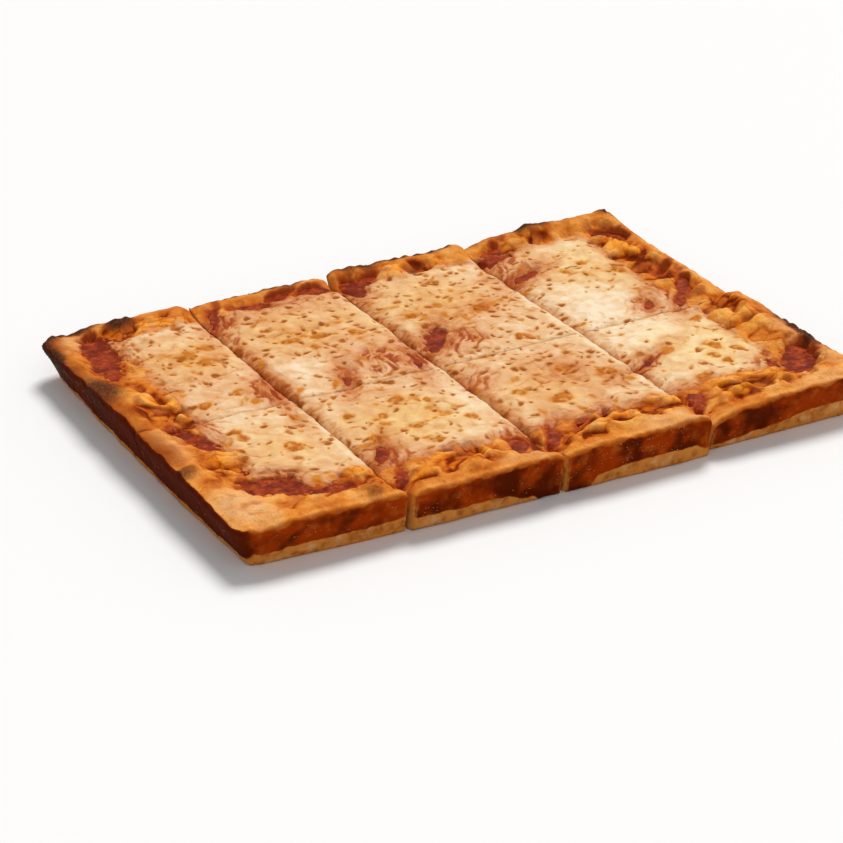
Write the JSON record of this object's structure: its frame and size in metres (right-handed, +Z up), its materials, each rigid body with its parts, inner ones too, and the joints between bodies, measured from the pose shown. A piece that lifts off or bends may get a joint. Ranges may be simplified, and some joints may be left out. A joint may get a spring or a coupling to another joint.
{
  "type": "sicilian pizza",
  "caption": "Thick rectangular pan pizza cut into slices, with a raised browned rim, tomato sauce pools and melted cheese.",
  "frame": {"origin": "middle of the underside, on the surface that the pizza rests on", "axes": "+X along the long side towards the right, +Y along the short side towards the back, +Z up"},
  "size_m": [0.432, 0.31, 0.0329],
  "materials": {
    "crust": "baked dough, golden orange on top and dark red brown on the sides",
    "sauce": "moist dark red tomato sauce",
    "cheese": "melted cream yellow cheese with small brown spots and a soft sheen"
  },
  "bodies": {
    "root": {"crust_front_1": "crust", "crust_front_2": "crust", "crust_front_3": "crust", "crust_front_4": "crust", "crust_back_1": "crust", "crust_back_2": "crust", "crust_back_3": "crust", "crust_back_4": "crust", "sauce_front_1": "sauce", "sauce_front_2": "sauce", "sauce_front_3": "sauce", "sauce_front_4": "sauce", "sauce_back_1": "sauce", "sauce_back_2": "sauce", "sauce_back_3": "sauce", "sauce_back_4": "sauce", "cheese_front_1": "cheese", "cheese_front_2": "cheese", "cheese_front_3": "cheese", "cheese_front_4": "cheese", "cheese_back_1": "cheese", "cheese_back_2": "cheese", "cheese_back_3": "cheese", "cheese_back_4": "cheese"}
  },
  "joints": []
}
